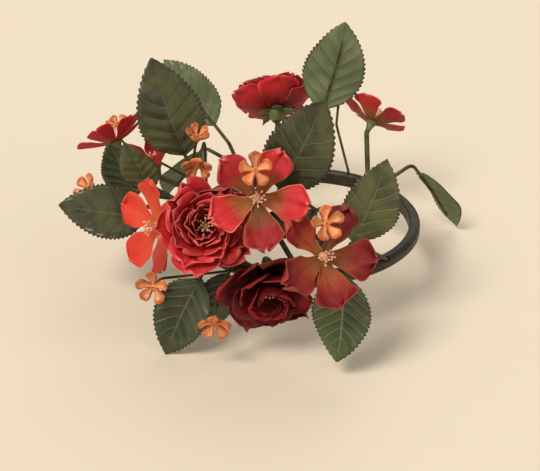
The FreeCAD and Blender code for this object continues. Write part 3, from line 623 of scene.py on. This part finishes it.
# Flower heads: spin of petal 0 in degrees, reach in millimetres, petals and looks. foot is the azimuth of
# the stem's socket in the hoop, and neck the length of its straight end in shares of the hoop's radius.
# tip draws a rose's middle petals out to a point, in shares of the reach, and full adds petals between its
# rings. broad names a floret's broad petals, the others being those that stand next to a blossom's twig.
RED_ROSE = {"outer": "red", "middle": "red", "inner": "heart", "slot": "red_petal", "tip": 0.0, "full": True}
DARK_ROSE = {"outer": "maroon", "middle": "maroon", "inner": "maroon", "slot": "dark_petal", "tip": 0.05,
             "full": False}
ROSES = {
    "rose_1": {
        **RED_ROSE, "spin": 20, "reach": 16.5, "foot": -161, "neck": 0.28,
        "look": look_of(
            cup=0.18, ruffle=1.3, waves=1.5, twist=0.16, roll=1.3, crease=0.12, scallop=0.25, wrap=0.4)},
    "rose_2": {
        **DARK_ROSE, "spin": 10, "reach": 18.5, "foot": -98, "neck": 0.12,
        "look": look_of(
            cup=0.22, ruffle=1.4, waves=1.3, twist=0.10, roll=0.5, crease=0.3, point=0.13, wrap=0.4)},
    "rose_3": {
        **RED_ROSE, "spin": 0, "reach": 16.5, "foot": 102, "neck": 0.20,
        "look": look_of(cup=0.18, ruffle=1.1, waves=2.0, twist=0.14, roll=1.0, crease=0.12, wrap=0.4)},
}
ALL_FIVE = (0, 1, 2, 3, 4)
FLORETS = {
    "floret_1": {
        "petal": "rust", "slot": "coral_petal", "shares": FLORET_SHARES, "broad": (1, 2, 3),
        "spin": 39, "reach": 18.0, "foot": -60, "neck": 0.09,
        "look": look_of(
            cup=0.30, ruffle=1.7, waves=2.2, twist=0.10, roll=0.8, crease=0.40, point=0.05, bow=0.9)},
    "floret_2": {
        "petal": "coral", "slot": "coral_petal", "shares": FLORET_SHARES, "broad": (1, 2, 3),
        "spin": 41, "reach": 18.0, "foot": -90, "neck": 0.06,
        "look": look_of(cup=0.32, ruffle=1.5, waves=2.0, twist=0.10, roll=1.2, crease=0.40, bow=0.9)},
    "floret_3": {
        "petal": "orange", "slot": "orange_petal", "shares": FLORET_SHARES, "broad": ALL_FIVE,
        "spin": 12, "reach": 18.0, "foot": -108, "neck": 0.13,
        "look": look_of(
            cup=0.22, ruffle=1.0, waves=1.7, twist=0.08, roll=0.7, crease=0.35, point=0.04, bow=0.8)},
    "floret_4": {
        "petal": "crimson", "slot": "red_petal", "shares": STAR_SHARES, "broad": (),
        "spin": 0, "reach": 13.0, "foot": 150, "neck": 0.11,
        "look": look_of(cup=0.20, ruffle=0.15, waves=1.2, twist=0.0, roll=0.2, crease=0.2, point=0.03)},
    "floret_5": {
        "petal": "crimson", "slot": "red_petal", "shares": FLORET_SHARES, "broad": ALL_FIVE,
        "spin": 20, "reach": 14.0, "foot": 166.5, "neck": 0.36,
        "look": look_of(cup=0.20, ruffle=0.3, waves=1.4, twist=0.0, roll=0.4, crease=0.2)},
    "floret_6": {
        "petal": "coral", "slot": "coral_petal", "shares": FLORET_SHARES, "broad": ALL_FIVE,
        "spin": 0, "reach": 14.0, "foot": 53, "neck": 0.12,
        "look": look_of(cup=0.20, ruffle=0.3, waves=1.4, twist=0.0, roll=0.4, crease=0.2)},
}

# Sizes that the flower heads share
CLOTH_MM = 0.35
HUB_MM = 0.8
HUB_HOLE_MM = 0.85
PETAL_LIFT_MM = 0.3
BUTTON_RADIUS_MM = 1.8
STEP = 72
HALF_STEP = 36

# The cup under a rose, with its sepals
CUP_HEIGHT_MM = 5.0
CUP_PROFILE_MM = [(1.0, 0.0), (1.5, 0.1), (2.1, 0.8), (2.6, 2.0), (2.95, 3.4), (3.0, 4.9), (1.2, 4.95)]
CUP_RIB_SHARE = 0.05
SEPAL_REACH_MM = 8.5
SEPAL_DROP_MM = 0.9
SEPAL_LOOK = look_of(cup=0.2, ruffle=0.12, waves=1.0, twist=0, roll=0.1, crease=0.12, scallop=0.1)

# How far petals stand off their even places, and the turn of a rose's heart, in degrees
SEPAL_JITTER, FLORET_JITTER, INNER_JITTER, LOOSE_JITTER, HEART_JITTER = 2.0, 1.0, 8.0, 9.0, 12.0
HEART_TURN = 40.0

# The hubs of a rose's three petal rings, and the buttons with their stamens, above the cup or the hub
OUTER_HUB_MM, MIDDLE_HUB_MM, INNER_HUB_MM, FLORET_HUB_MM = 4.0, 3.2, 2.4, 2.8
SECOND_LIFT_MM, HEART_LIFT_MM = 0.7, 0.5
ROSE_BUTTON_FROM_MM, ROSE_BUTTON_TO_MM = 2.4, 4.6
FLORET_BUTTON_TO_MM = 3.0


def hub(skin, radius, level):
    """The disc in the middle of a ring of petals."""
    b = np.linspace(0, FULL_TURN, 20, endpoint=False)
    rr, bb = np.meshgrid(np.array([HUB_HOLE_MM, radius * 0.6, radius]), b, indexing="ij")
    z = np.full_like(rr, level + HUB_MM * 0.5)
    skin.grid(np.stack([rr * np.cos(bb), rr * np.sin(bb), z], 2), rr * 0, np.cos(bb) * 0.3, 0.4, closed=True)


def make_rose(name, spec):
    body = name + "_head"
    rng = random.Random(name)
    place = joint_frame(name, spec["spin"])
    between = joint_frame(name, spec["spin"] + HALF_STEP)
    reach, look, seat = spec["reach"], spec["look"], CUP_HEIGHT_MM

    skin = Skin()
    turned(skin, CUP_PROFILE_MM, 0.5, 20, CUP_RIB_SHARE)
    ring_of_petals(skin, 5, SEPAL_REACH_MM, SEPAL_SHARES, seat - SEPAL_DROP_MM, rng, SEPAL_LOOK,
                   jitter=SEPAL_JITTER)
    skin.piece(name + "_calyx", body, [GREEN], [name + "_cup"], place, CLOTH_MM)

    skin = Skin()
    hub(skin, OUTER_HUB_MM, seat)
    ring_of_petals(skin, 5, reach, OUTER_SHARES, seat + PETAL_LIFT_MM, rng, look)
    if spec["full"]:
        ring_of_petals(skin, 4, reach, SECOND_SHARES, seat + SECOND_LIFT_MM, rng, look,
                       jitter=LOOSE_JITTER, first=HALF_STEP)
    skin.piece(name + "_outer", body, [PETALS[spec["outer"]]], [name + "_outer_petals"], place,
               CLOTH_MM)

    skin = Skin()
    level = seat + HUB_MM
    hub(skin, MIDDLE_HUB_MM, level)
    look = look_of(
        cup=0.12, ruffle=0.85, waves=1.4, twist=0.16, roll=1.1, crease=0.1, point=spec["tip"], wrap=0.8)
    ring_of_petals(skin, 5, reach, MIDDLE_SHARES, level + PETAL_LIFT_MM, rng, look)
    if spec["full"]:
        ring_of_petals(skin, 3, reach, FOURTH_SHARES, level + SECOND_LIFT_MM, rng, look,
                       jitter=LOOSE_JITTER, first=HALF_STEP)
    skin.piece(name + "_middle", body, [PETALS[spec["middle"]]], [name + "_middle_petals"],
               between, CLOTH_MM)

    skin = Skin()
    level = seat + 2 * HUB_MM
    hub(skin, INNER_HUB_MM, level)
    look = look_of(cup=0.10, ruffle=0.60, waves=1.4, twist=0.22, roll=0.8, crease=0.1, wrap=1.0)
    ring_of_petals(skin, 5, reach, INNER_SHARES, level + PETAL_LIFT_MM, rng, look, jitter=INNER_JITTER)
    ring_of_petals(skin, 3, reach, HEART_SHARES, level + HEART_LIFT_MM, rng, look,
                   jitter=HEART_JITTER, first=HEART_TURN)
    skin.piece(name + "_inner", body, [PETALS[spec["inner"]]], [name + "_inner_petals"], place,
               CLOTH_MM)

    skin = Skin()
    dome(skin, BUTTON_RADIUS_MM, seat + ROSE_BUTTON_FROM_MM, seat + ROSE_BUTTON_TO_MM, 0.3)
    stamens(skin, ROSE_STAMENS, seat + ROSE_BUTTON_FROM_MM, ROSE_STAMEN_MM, ROSE_SPREAD_MM, rng)
    skin.piece(name + "_stamens", body, [STAMEN], [name + "_centre"], place)


def make_floret(name, spec):
    body = name + "_head"
    rng = random.Random(name)
    place = joint_frame(name, spec["spin"])
    skin = Skin()
    hub(skin, FLORET_HUB_MM, 0.0)
    ring_of_petals(skin, 5, spec["reach"], spec["shares"], PETAL_LIFT_MM, rng, spec["look"],
                   jitter=FLORET_JITTER, broad=spec["broad"])
    skin.piece(name + "_corolla", body, [PETALS[spec["petal"]]], [name + "_petals"], place,
               CLOTH_MM)
    skin = Skin()
    dome(skin, BUTTON_RADIUS_MM, HUB_MM, FLORET_BUTTON_TO_MM, 0.3)
    stamens(skin, FLORET_STAMENS, HUB_MM, FLORET_STAMEN_MM, FLORET_SPREAD_MM, rng)
    skin.piece(name + "_stamens", body, [STAMEN], [name + "_centre"], place)


for name, spec in ROSES.items():
    make_rose(name, spec)
for name, spec in FLORETS.items():
    make_floret(name, spec)


# Stalks
def stalk_line(top, facing, foot_azimuth, neck_mm):
    """From the hoop's middle line straight out, round one bend, and along the facing to the top."""
    a = math.radians(foot_azimuth)
    foot = np.array([math.cos(a) * CORE_RADIUS_MM, math.sin(a) * CORE_RADIUS_MM, CORE_HEIGHT_MM])
    corner = top - facing * neck_mm
    first = normalised(corner - foot)
    turn = math.acos(float(np.clip(first @ facing, -1, 1)))
    cut = BEND_RADIUS_MM * math.tan(turn / 2)
    begin, end = corner - first * cut, corner + facing * cut
    points = [foot + (begin - foot) * s for s in np.linspace(0, 1, 8)]
    for s in np.linspace(0, 1, 9)[1:-1]:
        points.append((1 - s) ** 2 * begin + 2 * s * (1 - s) * corner + s**2 * end)
    return points + [end + (top - end) * s for s in np.linspace(0, 1, 4)]


# Leaves: colour, length in millimetres, direction of the upper side, shares for fold and arch, place
# round the hoop, direction from base to tip, azimuth of the socket, and neck
LEAF_PLACE_SHARES = {
    "leaf_1": ("olive", 37.5, (-81, 21), 0.25, -0.06, (-154, 1.14, 0.99), (180, 73), -174, 0.06),
    "leaf_2": ("olive", 37.5, (-96, 17), 0.25, 0, (-100.5, 1.10, 0.96), (-4, 65), -66, 0.06),
    "leaf_3": ("olive", 32.5, (-77, 18), 0.25, 0, (-66.5, 1.07, 0.41), (23, 67), -51, 0.08),
    "leaf_4": ("olive", 32.5, (-90, 41), 0.25, 0, (-166.5, 1.43, 0.29), (-171, 11), 177.5, 0.09),
    "leaf_5": ("dark", 25.0, (-105.5, 18), 0.25, 0, (179.5, 1.50, 0.33), (-166.5, 65), 173.5, 0.13),
    "leaf_6": ("dark", 32.5, (-114, 0), 0.25, 0, (-126, 1.48, 0.16), (-166, -65), -136, 0.19),
    "leaf_7": ("under", 25.0, (108, 12), 0.3, 0, (-118.5, 1.33, 0.18), (-173, -74), -131, 0.14),
    "leaf_8": ("bright", 32.5, (-102, 6), 0.25, 0, (-77, 1.56, 0.39), (-119, -80), -42, 0.29),
    "leaf_9": ("dark", 21.5, (-90, 37), 0.25, 0, (-84.5, 1.15, 0.79), (-159, -14), -84, 0.12),
    "leaf_10": ("olive", 21.5, (-103, 18), 0.25, 0, (-165.5, 1.39, 0.56), (-179, 68), 156.5, 0.06),
    "leaf_11": ("olive", 32.5, (39, 48), 0.25, 0, (39, 1.40, 0.13), (26, -55), 47, 0.15),
    "leaf_12": ("olive", 32.5, (129, 48), 0.25, 0, (132.5, 1.47, 0.23), (135, -54), 114, 0.11),
    "leaf_13": ("olive", 37.5, (84, 18), 0.25, 0, (81, 1.05, 0.70), (16, 75), 75.5, 0.17),
    "leaf_14": ("dark", 32.5, (111, 30), 0.25, 0, (133, 1.23, 0.62), (144, 40), 123, 0.23),
}
BLADE_SHARES = [
    (0.00, 0.0, 0.022), (0.05, 0.0, 0.105), (0.13, 0.0, 0.200), (0.23, 0.0, 0.265), (0.35, 0.0, 0.302),
    (0.47, 0.0, 0.304), (0.59, 0.0, 0.278), (0.71, 0.0, 0.226), (0.82, 0.0, 0.160), (0.92, 0.0, 0.084),
    (1.00, 0.0, 0.006)]
# A blade's sheet: its teeth, the relief pressed into it and its waves. Lengths without MM are shares of
# the blade's length, and those with HALF are shares of its half width.
TEETH = 21
TOOTH_STEPS = np.array([0.0, 0.35, 0.75, 1.0])
TOOTH_SHARE = 0.022
TOOTH_FADE_SHARE = 0.12
BLADE_COLUMNS = 20
FOLD_SOFTNESS = 0.012
FOLD_DROP = 0.11
BULGE_MM, GROOVE_MM, MIDRIB_MM = 0.34, 0.18, 0.28
GROOVE_WIDTH = 0.11
MIDRIB_HALF_SHARE = 0.05
SIDE_WAVE_MM = 0.85
LENGTH_WAVE_SHARE = 0.030
BEND_SHARE = 0.028
BLADE_LIFT_MM = 0.25
LEAF_CLOTH_MM = 0.35

# The stalk of a leaf, and the rib under its blade
STALK_FROM_MM, STALK_TO_MM = 0.80, 0.66
RIB_DROP_MM = 0.42
RIB_FROM_MM, RIB_LEAST_MM = 0.60, 0.12
RIB_SHARE = 0.8
RIB_STEP = 3


def blade_lift(uu, tt, half, length, veins, fold, arch, drift):
    """How far a blade's points are lifted off its plane: fold, arch, pressed veins and waves."""
    away = np.abs(tt)
    phase = veins * uu - VEIN_SLANT * away
    groove = np.exp(-(((phase % 1.0) - 0.5) / GROOVE_WIDTH) ** 2)
    bulge = np.sin(math.pi * (phase % 1.0 - 0.5)) ** 2
    lift = fold * half * (np.sqrt(tt**2 + FOLD_SOFTNESS) - FOLD_DROP)
    lift += arch * length * uu**2
    inside = smoothstep(0.0, 0.2, away) * (1 - smoothstep(0.85, 1.0, away)) * (1 - smoothstep(0.82, 0.95, uu))
    lift += (BULGE_MM * bulge - GROOVE_MM * groove) * inside
    lift -= MIDRIB_MM * np.exp(-((tt / MIDRIB_HALF_SHARE) ** 2))
    lift += SIDE_WAVE_MM * np.sin(2.6 * math.pi * uu + drift[0] + np.sign(tt)) * away**2
    lift += LENGTH_WAVE_SHARE * length * np.sin(1.3 * math.pi * uu + drift[1]) * uu
    return lift + BLADE_LIFT_MM


def make_leaf(name, colour, length, look, fold, arch, place, face, foot_azimuth, neck_share):
    rng = random.Random(name)
    top, facing = spot(*place), unit(*face)
    normal = unit(*look)
    normal = normalised(normal - facing * (normal @ facing))
    across = np.cross(normal, facing)

    # The outline with its teeth
    rows, columns = TEETH * len(TOOTH_STEPS), BLADE_COLUMNS
    u = np.linspace(0, 1, rows + 1)
    half = curve_through(BLADE_SHARES, u)[:, 2] * length
    tooth = TOOTH_STEPS[(np.arange(rows + 1) + 1) % len(TOOTH_STEPS)] * TOOTH_SHARE * length
    tooth *= smoothstep(0.03, 0.12, u) * np.minimum(1.0, half / (TOOTH_FADE_SHARE * length))
    uu, tt = np.meshgrid(u, np.linspace(-1, 1, columns + 1), indexing="ij")
    at_rim = np.abs(tt) > 0.999
    reach = half[:, None] * tt + np.sign(tt) * np.where(at_rim, tooth[:, None], 0.0)

    drift = [rng.uniform(0, FULL_TURN) for _ in range(3)]
    lift = blade_lift(uu, tt, half[:, None], length, LEAF_VEINS[colour], fold, arch, drift)
    reach += BEND_SHARE * length * np.sin(1.1 * math.pi * uu + drift[2]) * uu
    points = top + facing * (uu * length)[..., None] + normal * lift[..., None] + across * reach[..., None]
    skin = Skin()
    skin.grid(points, uu, tt, rng.random())
    upper = LEAVES[colour]
    under = LEAVES["olive" if colour == "under" else "under"]
    skin.piece(name + "_blade", "ring", [under, upper], [name], cloth_mm=LEAF_CLOTH_MM, smooth=0,
               back=1)

    skin = Skin()
    line = stalk_line(top, facing, foot_azimuth, neck_share * CORE_RADIUS_MM)
    radii = list(np.linspace(STALK_FROM_MM, STALK_TO_MM, len(line)))
    for k in range(RIB_STEP, int(rows * RIB_SHARE), RIB_STEP):
        line.append(points[k, columns // 2] - normal * RIB_DROP_MM)
        radii.append(RIB_FROM_MM * (1 - u[k]) + RIB_LEAST_MM)
    skin.tube(line, radii, 10, 0.5)
    skin.piece(name + "_stalk", "ring", [STEM], [], smooth=0)


for name, row in LEAF_PLACE_SHARES.items():
    make_leaf(name, *row)


# Blossoms: reach in millimetres, lift of the lobes, then place, facing, azimuth of the socket and neck
BLOSSOM_PLACE_SHARES = {
    "blossom_3": (6.0, 1.0, (-137, 1.21, 1.06), (-99, -26), -145.5, 0.28),
    "blossom_4": (6.0, 1.0, (-175.5, 1.91, 0.46), (-145, 37), -150.5, 0.12),
    "blossom_5": (6.6, 1.0, (-136.5, 1.74, 0.08), (-103, 9), -121, 0.19),
    "blossom_6": (6.6, 1.0, (-115.5, 1.71, -0.06), (-91, -22), -103, 0.29),
    "blossom_7": (4.6, 1.0, (159.5, 1.82, 0.72), (-129, 78), 143.5, 0.18),
    "blossom_8": (6.6, 1.0, (75, 1.29, 0.88), (80, 59), 64, 0.38),
    "blossom_9": (4.6, 2.0, (-145, 1.11, 1.20), (-64, 69), -168, 0.31),
}
# Blossoms that come up between two petals of a floret: the floret, the turn of the gap from its frame,
# then out, over and below it in shares of its reach, and the azimuth of the socket
GAP_BLOSSOM_SHARES = {
    "blossom_1": ("floret_2", 5, 0.52, 0.53, 0.28, -141),
    "blossom_2": ("floret_1", 3, 0.64, 0.56, 0.28, -73.5),
}
GAP_BLOSSOM_REACH_MM = 6.6
LOBE_LOOK = look_of(cup=0.45, ruffle=0.12, waves=1.2, twist=0.0, roll=-0.35, crease=0.12, scallop=0.1)
LOBE_LIFT_MM = 0.3
LOBE_CLOTH_MM = 1.2
TWIG_MM = 0.5

# The throat and eye of a blossom, in shares of its reach; the anthers' radii in millimetres
THROAT_SHARES = np.array([(0.09, -0.34), (0.13, -0.20), (0.20, -0.05), (0.24, 0.05)])
EYE_RADIUS_SHARE, EYE_HEIGHT_SHARE = 0.22, 0.26
EYE_FROM_MM = 0.1
ANTHER_OUT_SHARE, ANTHER_FOOT_SHARE, ANTHER_RISE_SHARE = 0.10, 0.2, 0.16
ANTHER_STEPS = (0.6, 0.8, 1.0, 1.2)
ANTHER_MM = (0.2, 0.3, 0.32, 0.12)
TWIG_TOP_SHARE = 0.2


def make_blossom(name, reach, lift_share, top, facing, foot_azimuth, neck_mm):
    rng = random.Random(name)
    place = head_frame(top, facing, 0.0)
    shares = [(out, up * lift_share, half) for out, up, half in LOBE_SHARES]
    skin = Skin()
    for k in range(5):
        grown = reach * rng.uniform(0.93, 1.02)
        azimuth = STEP * k + rng.uniform(-5, 5)
        petal(skin, azimuth, grown, shares, LOBE_LIFT_MM, rng, LOBE_LOOK, 12, 10)
    skin.piece(name + "_lobes", "ring", [BLOSSOM], [name], place, LOBE_CLOTH_MM)

    skin = Skin()
    dome(skin, EYE_RADIUS_SHARE * reach, EYE_FROM_MM, EYE_HEIGHT_SHARE * reach, 0.9, 0.2, 5, 12)
    for k in range(5):
        a = math.radians(STEP * k + HALF_STEP)
        out, up = ANTHER_OUT_SHARE * reach, ANTHER_RISE_SHARE * reach
        foot = ANTHER_FOOT_SHARE * reach
        line = [(out * math.cos(a) * q, out * math.sin(a) * q, foot + up * q) for q in ANTHER_STEPS]
        skin.tube(line, ANTHER_MM, 6, 0.6)
    turned(skin, THROAT_SHARES * reach, 0.2, 12)
    skin.piece(name + "_throat", "ring", [BLOSSOM], [], place)

    skin = Skin()
    drop = TWIG_TOP_SHARE * reach
    skin.tube(stalk_line(top - facing * drop, facing, foot_azimuth, neck_mm - drop), TWIG_MM, 8, 0.5)
    skin.piece(name + "_twig", "ring", [STEM], [], smooth=0)


for name, (reach, lift_share, place, face, foot_azimuth, neck_share) in BLOSSOM_PLACE_SHARES.items():
    neck_mm = neck_share * CORE_RADIUS_MM
    make_blossom(name, reach, lift_share, spot(*place), unit(*face), foot_azimuth, neck_mm)
for name, (host, angle, out_share, over_share, below_share, foot_azimuth) in GAP_BLOSSOM_SHARES.items():
    axes, origin = joint_frame(host, angle)
    reach = FLORETS[host]["reach"]
    top = origin + axes @ np.array([out_share * reach, 0.0, over_share * reach])
    neck_mm = (over_share + below_share) * reach
    make_blossom(name, GAP_BLOSSOM_REACH_MM, 1.0, top, axes[:, 2], foot_azimuth, neck_mm)


# Stems of the flower heads: wrapped wire, flared under a floret
WIRE_MM = 1.0
FLARE_LENGTH_MM = 4.0
FLARE_FROM_MM, FLARE_GROWTH_MM = 1.02, 1.2


def make_stem(name, spec, flare):
    axes, top = joint_frame(name, 0.0)
    facing = axes[:, 2]
    skin = Skin()
    skin.tube(stalk_line(top, facing, spec["foot"], spec["neck"] * CORE_RADIUS_MM), WIRE_MM, 14, 0.5)
    if flare:
        steps = np.linspace(0, 1, 7)
        collar = [top - facing * (FLARE_LENGTH_MM * (1 - q)) for q in steps]
        skin.tube(collar, FLARE_FROM_MM + FLARE_GROWTH_MM * steps**1.6, 18, 0.7, 1)
    skin.piece(name + "_wire", "ring", [STEM, GREEN], [name + "_stem"], smooth=0)


for name, spec in ROSES.items():
    make_stem(name, spec, False)
for name, spec in FLORETS.items():
    make_stem(name, spec, True)


# Carried-over solid: the hoop
hoop = frame["nodes"]["base_hoop"]
hoop.data.materials.clear()
hoop.data.materials.append(HOOP)


# Stage: a pale floor that the lowest leaf tips stand on, and three soft suns. A sun has its azimuth, height
# angle and softness in degrees, then its strength and colour.
FLOOR_COLOUR = (0.80, 0.70, 0.55)
FLOOR_ROUGHNESS = 0.9
FLOOR_HALF_M = 6.0
SUNS = {
    "key": (-125, 50, 22, 2.3, (1.0, 0.94, 0.86)),
    "fill": (-40, 30, 50, 0.5, (1.0, 0.95, 0.89)),
    "back": (75, 45, 40, 0.6, (1.0, 0.96, 0.91)),
}
WORLD_COLOUR = (1.0, 0.97, 0.92)
WORLD_STRENGTH = 0.36
scene = bpy.context.scene


def make_floor():
    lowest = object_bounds()[0].z
    material = bpy.data.materials.new("floor_pale")
    material.use_nodes = True
    shader = material.node_tree.nodes["Principled BSDF"]
    shader.inputs["Base Color"].default_value = (*FLOOR_COLOUR, 1.0)
    shader.inputs["Roughness"].default_value = FLOOR_ROUGHNESS
    corners = [(x * FLOOR_HALF_M, y * FLOOR_HALF_M, lowest) for x, y in ((-1, -1), (1, -1), (1, 1), (-1, 1))]
    mesh = bpy.data.meshes.new("floor")
    mesh.from_pydata(corners, [], [(0, 1, 2, 3)])
    mesh.materials.append(material)
    floor = bpy.data.objects.new("floor", mesh)
    scene.collection.objects.link(floor)


def make_sun(name, azimuth, height_angle, softness, strength, colour):
    """Even light from one direction, softened as by a large diffuser."""
    data = bpy.data.lights.new(name, "SUN")
    data.angle, data.energy, data.color = math.radians(softness), strength, colour
    light = bpy.data.objects.new(name, data)
    light.location = Vector(unit(azimuth, height_angle))
    light.rotation_mode = "QUATERNION"
    light.rotation_quaternion = Vector(-unit(azimuth, height_angle)).to_track_quat("-Z", "Y")
    scene.collection.objects.link(light)


def make_world():
    world = bpy.data.worlds.new("world")
    world.use_nodes = True
    background = world.node_tree.nodes["Background"]
    background.inputs["Color"].default_value = (*WORLD_COLOUR, 1.0)
    background.inputs["Strength"].default_value = WORLD_STRENGTH
    scene.world = world
    scene.view_settings.view_transform = "Standard"


make_floor()
for name, row in SUNS.items():
    make_sun(name, *row)
make_world()


# Camera: the photograph's height angle and distance, drawn in on the flowers
CAMERA_HEIGHT_ANGLE = 28.0
CAMERA_DISTANCE_M = 0.74
LENS_MM = 130.0
SENSOR_MM = 36.0
CLIP_M = (0.01, 20.0)
AIM_M = Vector((-0.012, -0.035, 0.016))


def make_camera():
    camera = bpy.data.objects.new("camera", bpy.data.cameras.new("camera"))
    h = math.radians(CAMERA_HEIGHT_ANGLE)
    camera.location = (0.0, -CAMERA_DISTANCE_M * math.cos(h), CAMERA_DISTANCE_M * math.sin(h))
    camera.rotation_mode = "QUATERNION"
    camera.rotation_quaternion = (AIM_M - camera.location).to_track_quat("-Z", "Y")
    camera.data.lens, camera.data.sensor_width = LENS_MM, SENSOR_MM
    camera.data.clip_start, camera.data.clip_end = CLIP_M
    scene.collection.objects.link(camera)
    scene.camera = camera


make_camera()
